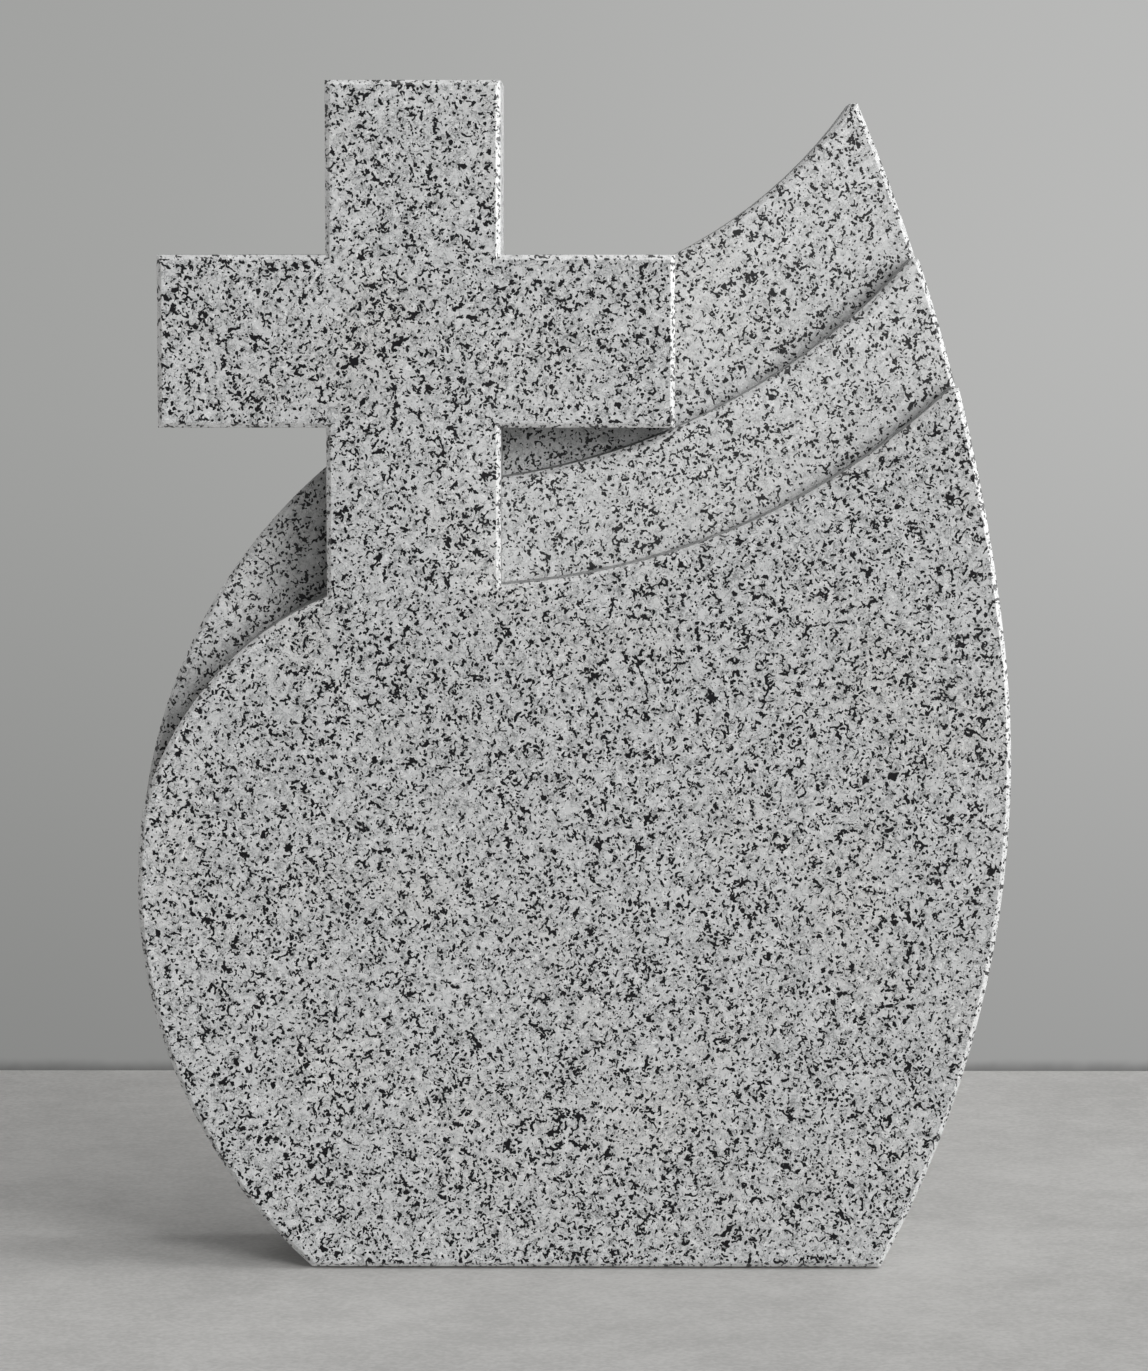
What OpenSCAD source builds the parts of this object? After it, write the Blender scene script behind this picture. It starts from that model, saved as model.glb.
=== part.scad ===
// Cross headstone in one piece of granite.
// A Latin cross and a broad rounded body share one front plane. Behind them the slab rises on the
// right into a wing whose face steps back twice, and shows on the left as a narrow crescent that
// runs down the side as a thin rim.
// Millimetres. X runs to the right, Y to the back, Z up; the stone stands on the plane Z = 0.

/* [Stone] */
// Height from the underside to the top of the cross
stone_h = 1000; // [900:5:1300]
// Greatest width of the body
body_w = 740; // [650:1:950]
// Thickness from front to back
stone_t = 150; // [125:1:220]
// Width of the underside
base_w = 482; // [380:1:560]
// How far the middle of the underside lies to the right of the body's middle
base_shift = 21.5; // [0:0.5:40]
// Width and depth of the chamfer round every front edge
chamfer = 4; // [1:0.5:8]

/* [Outline] */
// Radius of the lower left side of the front body
left_low_r = 440; // [400:1:600]
// Radius of the crescent's upper left side
left_high_r = 458; // [420:1:600]
// How far the front body stands in from the crescent's side, down to the underside
left_inset = 5; // [2:0.5:10]
// Radius of the lower right side
right_low_r = 897; // [800:1:1200]
// Radius of the upper right side, along the wing
right_high_r = 1620; // [1300:5:2400]
// Height at which the two right radii meet
right_join_z = 531; // [480:1:600]
// Radius of the shoulder left of the cross
shoulder_r = 269.5; // [255:0.5:300]
// How far the shoulder's centre lies below the widest point of the left side
shoulder_drop = 5; // [0:1:15]
// How far the shoulder's circle reaches past the left side, so that the two cross cleanly
shoulder_out = 4; // [2:0.5:6]

/* [Cross] */
// Width of the shaft
shaft_w = 146; // [110:1:180]
// Height of the arms
arm_h = 144; // [110:1:175]
// Width over both arms
arm_span = 432; // [380:1:520]
// How far the middle of the arms lies to the right of the shaft's middle
arm_shift = 2.4; // [0:0.2:6]
// Height of the shaft above the arms
head_h = 144.5; // [110:0.5:180]
// How far the shaft's middle lies to the left of the body's middle
cross_shift = 131.5; // [110:0.5:150]

/* [Wing] */
// Depth of each of the two steps in the wing's face
step_d = 40; // [20:1:48]
// Width of the small flat that blunts each tip
tip_flat = 6; // [3:0.5:10]
// Height of the wing's tip
wing_tip_z = 983; // [940:1:1100]
// Height at which the wing's top edge would meet the shaft
wing_foot_z = 815; // [790:1:870]
// Radius of the wing's top edge
wing_r = 400; // [370:1:600]
// Height of the middle band's tip
middle_tip_z = 852; // [820:1:880]
// Height at which the middle band's edge meets the shaft
middle_foot_z = 668; // [640:1:700]
// Radius of the middle band's edge
middle_r = 577; // [520:1:800]
// Height of the front face's tip
front_tip_z = 745; // [715:1:770]
// Height at which the front face's edge meets the shaft
front_foot_z = 580; // [560:1:620]
// Radius of the front face's edge
front_r = 609; // [540:1:800]

/* [Hidden] */
$fn = 360;

granite = "LightGray";
slack = 1;                                    // overshoot of the cutting bodies
reach = 3 * stone_h;                          // longer than anything that is cut
back_y = stone_t / 2;
front_y = -back_y;
middle_y = front_y + step_d;
wing_y = front_y + 2 * step_d;

// the two ends of the underside, on the side radii
base_left = base_shift - base_w / 2;
base_right = base_shift + base_w / 2;
left_low_c = rim_centre(-body_w / 2 + left_inset + left_low_r, base_left, left_low_r);
left_high_c = [-body_w / 2 + left_high_r, left_low_c.y];
right_low_c = rim_centre(body_w / 2 - right_low_r, base_right, right_low_r);

// the upper right radius continues the lower one, so both centres lie on one line with the join
join_angle = asin((right_join_z - right_low_c.y) / right_low_r);
join_dir = [cos(join_angle), sin(join_angle)];
right_high_c = right_low_c + (right_low_r - right_high_r) * join_dir;

shoulder_c = [left_low_c.x - left_low_r - shoulder_out + shoulder_r, left_low_c.y - shoulder_drop];

shaft_x = -cross_shift;
shaft_right = shaft_x + shaft_w / 2;
arms_x = shaft_x + arm_shift;
arm_top = stone_h - head_h;

front_c = edge_centre(front_foot_z, front_tip_z, front_r);
middle_c = edge_centre(middle_foot_z, middle_tip_z, middle_r);
wing_c = edge_centre(wing_foot_z, wing_tip_z, wing_r);

// centre, at the given x, of a circle of radius r that meets the underside at base_x
function rim_centre(x, base_x, r) = [x, sqrt(r * r - (base_x - x) * (base_x - x))];

// x of the upper right side at height z
function rim_x(z) = right_high_c.x + sqrt(pow(right_high_r, 2) - pow(z - right_high_c.y, 2));

// centre of the hollow arc of radius r from the shaft to the tip, above and left of both
function edge_centre(foot_z, tip_z, r) =
    let (foot = [shaft_right, foot_z],
         tip = [rim_x(tip_z) - tip_flat, tip_z],
         run = tip - foot,
         half = norm(run) / 2)
    (foot + tip) / 2 + sqrt(r * r - half * half) * [-run.y, run.x] / norm(run);

// place a shape turned about Z so that it is turned about Y, round a centre given as [x, z]
module upright(centre) {
    translate([centre.x, 0, centre.y]) rotate([-90, 0, 0]) children();
}

// round slab from front to back, its front edge chamfered
module disc(centre, r, front) {
    upright(centre)
        rotate_extrude()
            polygon([[0, front], [r - chamfer, front], [r, front + chamfer], [r, back_y], [0, back_y]]);
}

// body that cuts a hollow arc through the slab and flares at the front, which leaves a chamfer
module scoop(centre, r, front) {
    flare = front_y - slack;
    upright(centre)
        rotate_extrude()
            polygon([[0, flare], [r + chamfer + front - flare, flare], [r, front + chamfer],
                     [r, back_y + slack], [0, back_y + slack]]);
}

// slab between two heights, endless in x, chamfered along both front edges
module course(low, high, front) {
    translate([-reach / 2, 0, 0])
        rotate([90, 0, 90])
            linear_extrude(reach)
                polygon([[front, low + chamfer], [front + chamfer, low], [back_y, low],
                         [back_y, high], [front + chamfer, high], [front, high - chamfer]]);
}

// upright slab between two x, endless in z, chamfered along both front edges
module pillar(left, right, front) {
    translate([0, 0, -reach / 2])
        linear_extrude(reach)
            polygon([[left + chamfer, front], [right - chamfer, front], [right, front + chamfer],
                     [right, back_y], [left, back_y], [left, front + chamfer]]);
}

// plain block that keeps what lies right of x and above z, or below it when up is -1
module keep(x, z, up = 1) {
    translate([x, -reach / 2, up > 0 ? z : z - reach]) cube(reach);
}

// the bar of the cross between four edges
module bar(left, right, low, high) {
    intersection() {
        pillar(left, right, front_y);
        course(low, high, front_y);
    }
}

module cross() {
    bar(shaft_x - shaft_w / 2, shaft_right, shoulder_c.y, stone_h);
    bar(arms_x - arm_span / 2, arms_x + arm_span / 2, arm_top - arm_h, arm_top);
}

// everything left of the right side, whose two radii run into each other at the join
module right_side(front) {
    join = right_low_c + right_low_r * join_dir;
    intersection() {
        disc(right_high_c, right_high_r, front);
        translate([join.x, 0, join.y]) rotate([0, -join_angle, 0]) keep(-reach / 2, 0);
    }
    intersection() {
        disc(right_low_c, right_low_r, front);
        translate([join.x, 0, join.y]) rotate([0, -join_angle, 0]) keep(-reach / 2, 0, -1);
    }
}

// the body in the plane of the cross, under the front face's edge
module front_body() {
    difference() {
        intersection() {
            right_side(front_y);
            course(0, front_tip_z, front_y);
            union() {
                disc(left_low_c, left_low_r, front_y);
                keep(left_low_c.x, 0);
            }
            union() {
                disc(shoulder_c, shoulder_r, front_y);
                keep(shoulder_c.x, 0);
                keep(-reach / 2, shoulder_c.y, -1);
            }
        }
        scoop(front_c, front_r, front_y);
    }
}

// a band of the wing, from behind the shaft to its tip
module band(centre, r, tip_z, front) {
    difference() {
        intersection() {
            right_side(front);
            course(0, tip_z, front);
            keep(shaft_x, 0);
        }
        scoop(centre, r, front);
    }
}

// the back of the slab where it shows left of the shaft, the shoulder and the front body
module crescent() {
    intersection() {
        union() {
            intersection() {
                disc(left_high_c, left_high_r, wing_y);
                keep(-reach / 2, left_high_c.y);
            }
            intersection() {
                disc(left_low_c, left_low_r + left_inset, wing_y);
                keep(-reach / 2, left_low_c.y, -1);
            }
        }
        course(0, stone_h, wing_y);
        translate([shaft_right, 0, 0]) rotate([0, 0, 180]) keep(0, 0);
    }
}

module headstone() {
    color(granite) {
        cross();
        front_body();
        band(middle_c, middle_r, middle_tip_z, middle_y);
        band(wing_c, wing_r, wing_tip_z, wing_y);
        crescent();
    }
}

headstone();
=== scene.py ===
import bmesh
import bpy
import math
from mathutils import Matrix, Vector


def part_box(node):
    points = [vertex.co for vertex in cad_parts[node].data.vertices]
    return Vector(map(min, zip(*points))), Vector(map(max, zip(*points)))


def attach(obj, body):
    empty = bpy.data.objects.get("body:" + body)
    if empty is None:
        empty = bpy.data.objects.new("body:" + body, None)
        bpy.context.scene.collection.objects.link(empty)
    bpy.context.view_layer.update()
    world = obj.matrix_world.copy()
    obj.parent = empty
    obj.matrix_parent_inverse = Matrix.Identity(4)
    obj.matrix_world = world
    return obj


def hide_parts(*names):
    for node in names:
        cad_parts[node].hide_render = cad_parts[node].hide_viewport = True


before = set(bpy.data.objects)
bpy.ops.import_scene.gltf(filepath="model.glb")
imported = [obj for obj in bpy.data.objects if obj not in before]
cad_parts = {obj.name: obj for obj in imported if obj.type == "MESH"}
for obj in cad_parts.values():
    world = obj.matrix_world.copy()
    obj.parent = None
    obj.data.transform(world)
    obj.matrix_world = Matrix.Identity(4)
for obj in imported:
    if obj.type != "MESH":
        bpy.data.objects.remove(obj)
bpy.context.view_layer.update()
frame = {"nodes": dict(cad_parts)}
scene = bpy.context.scene
scene.view_settings.view_transform = "Standard"
print("frame loaded:", ", ".join(frame["nodes"]))


class Wire:
    # holds one output socket, so that shader maths reads as ordinary sums
    def __init__(self, tree, socket=None):
        self.tree = tree
        self.socket = socket

    # adds a node with its settings and its sockets' values or links, and gives one of its outputs
    def node(self, kind, settings=None, sockets=None, out=0):
        made = self.tree.nodes.new(kind)
        for name, value in (settings or {}).items():
            setattr(made, name, value)
        for key, value in (sockets or {}).items():
            if isinstance(value, Wire):
                self.tree.links.new(value.socket, made.inputs[key])
            else:
                made.inputs[key].default_value = value
        return Wire(self.tree, made.outputs[out])

    def math(self, operation, first, second=0.0):
        return self.node("ShaderNodeMath", {"operation": operation}, {0: first, 1: second})

    def __add__(self, other):
        return self.math("ADD", self, other)

    __radd__ = __add__

    def __sub__(self, other):
        return self.math("SUBTRACT", self, other)

    def __rsub__(self, other):
        return self.math("SUBTRACT", other, self)

    def __mul__(self, other):
        return self.math("MULTIPLY", self, other)

    __rmul__ = __mul__

    def __abs__(self):
        return self.math("ABSOLUTE", self)

    def most(self, other):
        return self.math("MAXIMUM", self, other)

    # 0 below low, 1 above high, eased between them
    def rise(self, low, high):
        sockets = {0: self, 1: low, 2: high, 3: 0.0, 4: 1.0}
        return self.node("ShaderNodeMapRange", {"interpolation_type": "SMOOTHSTEP"}, sockets)

    # the first colour where the mask is 0, the second where it is 1
    def mix(self, mask, first, second):
        return self.node("ShaderNodeMix", {"data_type": "RGBA"}, {0: mask, 6: first, 7: second}, 2)

    # this colour where the mask is 0, the other where it is 1
    def toColour(self, other, mask):
        return self.mix(mask, self, other)

    # this point pushed about by a noise colour, by up to half the amount each way
    def pushed(self, noise, amount):
        middle = (0.5, 0.5, 0.5)
        centred = self.node("ShaderNodeVectorMath", {"operation": "SUBTRACT"}, {0: noise, 1: middle})
        sockets = {0: centred, 1: (amount, amount, amount), 2: self}
        return self.node("ShaderNodeVectorMath", {"operation": "MULTIPLY_ADD"}, sockets)

    # smooth noise from 0 to 1 whose features are about this many metres apart
    def noise(self, size, detail=2.0, out="Fac"):
        sockets = {"Vector": self, "Scale": 1 / size, "Detail": detail}
        return self.node("ShaderNodeTexNoise", {}, sockets, out)

    # crystal cells of this size in metres: how far the middle is, in cells, or a colour for each
    def cells(self, size, out="Distance"):
        return self.node("ShaderNodeTexVoronoi", {}, {"Vector": self, "Scale": 1 / size}, out)

    # winding lines where smooth noise crosses its middle, full over the core and eased at the sides
    def threads(self, size, width, core=0.7):
        return 1 - abs(self.noise(size, 1.0) - 0.5).rise(width * core, width)

    def channel(self, name):
        return self.node("ShaderNodeSeparateColor", {}, {0: self}, name)

    def axis(self, name):
        return self.node("ShaderNodeSeparateXYZ", {}, {0: self}, name)


def newMaterial(name):
    material = bpy.data.materials.new(name)
    material.use_nodes = True
    tree = material.node_tree
    return material, Wire(tree), tree.nodes["Principled BSDF"]


def plug(shader, values):
    for name, value in values.items():
        if isinstance(value, Wire):
            value.tree.links.new(value.socket, shader.inputs[name])
        else:
            shader.inputs[name].default_value = value


# light grey granite, the same all through the block
# sizes are in metres, and a gate is where a mask begins and where it is full
graniteLook = {
    "bedding": (0.62, 0.41, 0.83),  # how the pattern is turned in the block, in radians
    "warp": {"size": 0.0028, "amount": 0.0022},
    "pale": (0.474, 0.478, 0.479, 1),
    "warmPale": (0.482, 0.479, 0.470, 1),
    "grey": (0.250, 0.258, 0.258, 1),
    "white": (0.740, 0.742, 0.740, 1),
    "mica": (0.003, 0.003, 0.004, 1),
    "dimMica": (0.090, 0.094, 0.094, 1),
    "chalkAndHighlight": (0.880, 0.880, 0.870, 1),
    "crystalCell": 0.0052,
    "cloudSize": 0.030,
    "mottleSize": 0.0016,
    "clumpSize": 0.014,
    "warmth": {"size": 0.110, "gate": (0.48, 0.80)},
    "quartz": {"crystal": 0.5, "mottle": 2.0, "cloud": 0.3, "gate": (1.15, 1.95)},
    "bright": {"crystal": 0.5, "mottle": 2.0, "gate": (1.42, 1.75), "strength": 0.7},
    "hair": {"size": 0.0056, "width": 0.034, "patch": 0.0048, "crowd": 0.0, "gate": (0.46, 0.62)},
    "wisp": {"size": 0.0034, "width": 0.060, "patch": 0.0075, "crowd": 0.0, "gate": (0.50, 0.64)},
    "hairStrength": 0.60,
    "stroke": {"size": 0.0156, "width": 0.044, "patch": 0.0056, "crowd": 0.25, "gate": (0.714, 0.744)},
    "curl": {"size": 0.0106, "width": 0.068, "patch": 0.0050, "crowd": 0.25, "gate": (0.739, 0.769)},
    "fleck": {"size": 0.0041, "crowd": 0.25, "gate": (0.779, 0.799)},
    "speck": {"size": 0.0031, "crowd": 0.20, "gate": (0.775, 0.797)},
    "dot": {"cell": 0.0052, "lot": 0.36, "crowd": 0.20, "least": 0.16, "gate": (0.0, 0.04)},
    "veil": 1.3,  # how much a haze squared dims the mica
    "relief": 0.00003,
    # haze is how chalky a finish is; on the chamfers the chalk is partly a painted highlight
    "finishes": {
        "polished": {"haze": 0.0, "roughness": 0.58, "fleckRoughness": 0.44, "IOR": 1.24},
        "carved": {"haze": 0.16, "roughness": 0.58, "fleckRoughness": 0.44, "IOR": 1.24},
        # the chamfers' paler colour is partly a rubbed finish and partly a painted highlight
        "arris": {"haze": 0.24, "roughness": 0.36, "fleckRoughness": 0.36, "IOR": 1.45},
    },
}


# winding lines of one kind, broken into short pieces that crowd where the stone is clumpy
def brokenLines(along, place, clump, kind):
    patches = place.noise(kind["patch"], 1.0) + clump * kind["crowd"]
    return along.threads(kind["size"], kind["width"]) * patches.rise(*kind["gate"])


# pale feldspar, some greyer quartz and a few nearly white crystals
def mixCrystals(place, crooked, mottle):
    look = graniteLook
    crystal = crooked.cells(look["crystalCell"], "Color")
    cloud = place.noise(look["cloudSize"], 3.0)
    warmth = place.noise(look["warmth"]["size"], 2.0).rise(*look["warmth"]["gate"])
    colour = place.mix(warmth, look["pale"], look["warmPale"])
    kind = look["quartz"]
    quartz = crystal.channel("Red") * kind["crystal"] + mottle * kind["mottle"] + cloud * kind["cloud"]
    colour = colour.toColour(look["grey"], quartz.rise(*kind["gate"]))
    kind = look["bright"]
    bright = crystal.channel("Green") * kind["crystal"] + mottle * kind["mottle"]
    return colour.toColour(look["white"], bright.rise(*kind["gate"]) * kind["strength"])


# black mica: short crooked strokes and curls, with flecks, specks and dots between them
def scatterMica(place, crooked, clump):
    look = graniteLook
    strokes = brokenLines(crooked, place, clump, look["stroke"])
    curls = brokenLines(crooked, place, clump, look["curl"])
    kind = look["fleck"]
    flecks = (crooked.noise(kind["size"], 1.0) + clump * kind["crowd"]).rise(*kind["gate"])
    kind = look["speck"]
    specks = (place.noise(kind["size"], 0.0) + clump * kind["crowd"]).rise(*kind["gate"])
    kind = look["dot"]
    radius = place.cells(kind["cell"], "Color").channel("Red") * kind["lot"] + clump * kind["crowd"]
    dots = (radius - kind["least"] - crooked.cells(kind["cell"])).rise(*kind["gate"])
    return strokes.most(curls).most(flecks).most(specks).most(dots)


def makeGranite(finish):
    look = graniteLook
    surface = look["finishes"][finish]
    haze = surface["haze"]
    material, start, shader = newMaterial("granite_" + finish)
    place = start.node("ShaderNodeTexCoord", out="Object")
    place = start.node("ShaderNodeMapping", {}, {"Vector": place, "Rotation": look["bedding"]})
    crooked = place.pushed(place.noise(look["warp"]["size"], 1.0, "Color"), look["warp"]["amount"])
    mottle = place.noise(look["mottleSize"], 2.0)
    clump = place.noise(look["clumpSize"], 1.0)
    colour = mixCrystals(place, crooked, mottle)

    # fine grey hair lines round the crystals
    hair = brokenLines(place, place, clump, look["hair"])
    wisp = brokenLines(place, place, clump, look["wisp"])
    colour = colour.toColour(look["dimMica"], hair.most(wisp) * look["hairStrength"])
    if haze > 0:
        # chalk lightens the finish; on the chamfers it is partly a painted highlight
        colour = colour.toColour(look["chalkAndHighlight"], haze)
    mica = scatterMica(place, crooked, clump) * (1 - haze * haze * look["veil"])
    colour = colour.toColour(look["mica"], mica)

    height = (mottle - mica) * look["relief"]
    bump = start.node("ShaderNodeBump", {}, {"Strength": 1.0, "Distance": 1.0, "Height": height}, "Normal")
    roughness = surface["roughness"] + mica * (surface["fleckRoughness"] - surface["roughness"])
    plug(shader, {"Base Color": colour, "Roughness": roughness, "Normal": bump, "IOR": surface["IOR"]})
    print("granite mixed:", finish)
    return material


# the whole headstone: the imported block with every outer arris slightly eased
# it is polished, apart from the duller panels cut back behind its front and the chalkier chamfers, whose
# paler colour is partly a painted highlight
stoneShape = {
    "join": 0.0004,
    "flatAngle": math.radians(0.3),
    "arrisAngle": math.radians(20),
    "arrisWidth": 0.0005,
    "arrisSteps": 2,
    "smoothAngle": math.radians(8),
    "levelFacing": 0.97,  # how squarely a panel faces the front
    "chamferFacing": 0.10,  # and how little a side does
    "cutBack": 0.002,
    "finishes": ("polished", "carved", "arris"),
}


def makeStone():
    shape = stoneShape
    finishes = shape["finishes"]
    block = bmesh.new()
    block.from_mesh(frame["nodes"]["headstone"].data)
    bmesh.ops.remove_doubles(block, verts=block.verts, dist=shape["join"])
    bmesh.ops.dissolve_limit(block, angle_limit=shape["flatAngle"], verts=block.verts, edges=block.edges)
    bmesh.ops.recalc_face_normals(block, faces=block.faces)
    outer = [edge for edge in block.edges if edge.is_manifold]
    arrises = [edge for edge in outer if edge.calc_face_angle_signed() > shape["arrisAngle"]]
    print("eased arrises:", len(arrises))
    bmesh.ops.bevel(
        block, geom=arrises, affect="EDGES", offset=shape["arrisWidth"], segments=shape["arrisSteps"],
        profile=0.5, material=-1, clamp_overlap=False,
    )
    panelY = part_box("headstone")[0][1] + shape["cutBack"]
    for face in block.faces:
        face.smooth = True
        facing = -face.normal.y
        # chamfers get the paler finish, partly a painted highlight
        if shape["chamferFacing"] < abs(facing) < shape["levelFacing"]:
            face.material_index = finishes.index("arris")
        elif facing > shape["levelFacing"] and face.calc_center_median().y > panelY:
            face.material_index = finishes.index("carved")
    mesh = bpy.data.meshes.new("granite_headstone")
    block.to_mesh(mesh)
    block.free()
    mesh.set_sharp_from_angle(angle=shape["smoothAngle"])
    for finish in finishes:
        mesh.materials.append(makeGranite(finish))
    stone = bpy.data.objects.new("granite_headstone", mesh)
    scene.collection.objects.link(stone)
    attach(stone, "root")
    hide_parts("headstone")
    print("headstone shaped:", len(mesh.polygons), "faces")


# studio floor, a hair below the stone; a mottle is a noise's size, its detail and its share
floorLook = {
    "size": 14.0,
    "drop": 0.0018,
    "colour": (0.505, 0.499, 0.486),
    "darkest": 0.84,
    "palest": 1.14,
    "mottles": ((0.22, 3.0, 0.35), (0.045, 3.0, 0.25), (0.0045, 2.0, 0.40)),
    "gate": (0.3, 0.7),
    "roughness": 0.9,
    "specular": 0.1,
}


def makeFloor():
    look = floorLook
    plane = bmesh.new()
    bmesh.ops.create_grid(plane, x_segments=1, y_segments=1, size=look["size"] / 2)
    bmesh.ops.translate(plane, verts=plane.verts, vec=(0, 0, -look["drop"]))
    mesh = bpy.data.meshes.new("studio_floor")
    plane.to_mesh(mesh)
    plane.free()
    material, start, shader = newMaterial("floor_paint")
    place = start.node("ShaderNodeTexCoord", out="Object")
    mottle = sum(place.noise(size, detail) * share for size, detail, share in look["mottles"])
    low = [part * look["darkest"] for part in look["colour"]] + [1]
    high = [part * look["palest"] for part in look["colour"]] + [1]
    colour = start.mix(mottle.rise(*look["gate"]), low, high)
    plug(shader, {"Base Color": colour, "Roughness": look["roughness"]})
    plug(shader, {"Specular IOR Level": look["specular"]})
    mesh.materials.append(material)
    floor = bpy.data.objects.new("studio_floor", mesh)
    scene.collection.objects.link(floor)
    print("floor laid")


# studio wall glowing with painted light: paler to the right, with painted shade a little darker towards
# the floor and a soft line of painted shade in the corner
wallLook = {
    "width": 14.0,
    "height": 5.0,
    "behind": 0.90,
    # painted light: the glowing wall runs from darker at the left to paler at the right
    "left": (0.355, 0.358, 0.350, 1),
    "right": (0.490, 0.492, 0.485, 1),
    "black": (0.0, 0.0, 0.0, 1),
    "across": {"size": 0.6, "waver": 0.10, "gate": (-0.75, 0.85)},
    # painted shade darkening the wall towards the floor
    "foot": {"gate": (-0.30, 0.90), "shade": 0.36},
    # painted shade along the corner where wall and floor meet
    "paintedCornerShade": {"size": 0.03, "waver": 0.008, "gate": (0.002, 0.018), "shade": 0.34},
    "roughness": 0.9,
}


def mixWallPaintedLight():
    look = wallLook
    material, start, shader = newMaterial("wall_painted_light")
    place = start.node("ShaderNodeTexCoord", out="Object")
    height = place.axis("Z")
    kind = look["across"]
    across = place.axis("X") + place.noise(kind["size"], 2.0) * kind["waver"]
    # painted light, paler towards the right as if lit from that side
    colour = start.mix(across.rise(*kind["gate"]), look["left"], look["right"])
    # painted shade, darker towards the floor
    foot = (1 - height.rise(*look["foot"]["gate"])) * look["foot"]["shade"]
    # painted shade in a soft wavy line along the corner
    kind = look["paintedCornerShade"]
    line = height + place.noise(kind["size"], 2.0) * kind["waver"]
    paintedCornerShade = (1 - line.rise(*kind["gate"])) * kind["shade"]
    colour = colour.toColour(look["black"], foot + paintedCornerShade)
    # the wall is black and glows with its painted light and shade, though it is no lamp
    plug(shader, {"Base Color": look["black"], "Roughness": look["roughness"], "Specular IOR Level": 0.0})
    plug(shader, {"Emission Color": colour, "Emission Strength": 1.0})
    # from behind, the camera looks through the wall
    back = start.node("ShaderNodeNewGeometry", out="Backfacing")
    clear = start.node("ShaderNodeBsdfTransparent")
    glow = Wire(start.tree, shader.outputs[0])
    seen = start.node("ShaderNodeMixShader", {}, {0: back, 1: glow, 2: clear})
    start.tree.links.new(seen.socket, start.tree.nodes["Material Output"].inputs["Surface"])
    return material


def makeWall():
    look = wallLook
    plane = bmesh.new()
    bmesh.ops.create_grid(plane, x_segments=1, y_segments=1, size=0.5)
    bmesh.ops.scale(plane, verts=plane.verts, vec=(look["width"], look["height"], 1))
    upright = Vector((0, 0, 1)).rotation_difference(Vector((0, -1, 0))).to_matrix()
    bmesh.ops.rotate(plane, verts=plane.verts, matrix=upright)
    bmesh.ops.translate(plane, verts=plane.verts, vec=(0, look["behind"], look["height"] / 2))
    mesh = bpy.data.meshes.new("studio_wall")
    plane.to_mesh(mesh)
    plane.free()
    mesh.materials.append(mixWallPaintedLight())
    wall = bpy.data.objects.new("studio_wall", mesh)
    wall.visible_diffuse = False  # it neither shades nor lights the stone
    wall.visible_shadow = False
    scene.collection.objects.link(wall)
    print("wall raised")


# distant soft lamps: degrees round from the front towards the right, degrees up, width in degrees
lamps = {
    "key": {"round": 36, "up": 19, "width": 26, "strength": 2.28},
    "front": {"round": 18, "up": 2, "width": 26, "strength": 0.66},
    "top": {"round": 78, "up": 54, "width": 44, "strength": 1.10},
    "side": {"round": 86, "up": 4, "width": 20, "strength": 1.2},
    "left": {"round": -128, "up": 4, "width": 40, "strength": 1.00},
    "back": {"round": 155, "up": 4, "width": 24, "strength": 1.2},
}


def makeLamps():
    for name, spec in lamps.items():
        data = bpy.data.lights.new(name, "SUN")
        data.energy = spec["strength"]
        data.angle = math.radians(spec["width"])
        lamp = bpy.data.objects.new(name, data)
        lamp.rotation_euler = (math.radians(90 - spec["up"]), 0, math.radians(spec["round"]))
        scene.collection.objects.link(lamp)
    print("lamps hung:", len(lamps))


# brighter in front of the stone than behind it, and one plain grey where it is seen or mirrored
world = {
    "front": (0.24, 0.24, 0.24, 1),
    "back": (0.10, 0.10, 0.10, 1),
    "gate": (-0.6, 0.8),
    "shown": (0.55, 0.55, 0.54, 1),
    "shownTo": ("Is Camera Ray", "Is Glossy Ray", "Is Transmission Ray"),
}


def makeWorld():
    sky = bpy.data.worlds.new("studio")
    scene.world = sky
    sky.use_nodes = True
    start = Wire(sky.node_tree)
    behind = start.node("ShaderNodeTexCoord", out="Generated").axis("Y").rise(*world["gate"])
    colour = start.mix(behind, world["front"], world["back"])
    camera, glossy, through = (start.node("ShaderNodeLightPath", out=ray) for ray in world["shownTo"])
    colour = colour.toColour(world["shown"], camera.most(glossy).most(through))
    plug(sky.node_tree.nodes["Background"], {"Color": colour, "Strength": 1.0})
    print("world set")


# camera at eye height before the stone, turned down and left by these degrees
view = {"at": (0.0204, -4.071, 0.861), "down": 5.224, "left": 0.255, "lens": 125.64, "sensor": 36}


def makeCamera():
    data = bpy.data.cameras.new("camera")
    data.lens = view["lens"]
    data.sensor_width = view["sensor"]
    camera = bpy.data.objects.new("camera", data)
    camera.location = view["at"]
    camera.rotation_euler = (math.radians(90 - view["down"]), 0, math.radians(view["left"]))
    scene.collection.objects.link(camera)
    scene.camera = camera
    print("camera set")


makeStone()
makeFloor()
makeWall()
makeLamps()
makeWorld()
makeCamera()
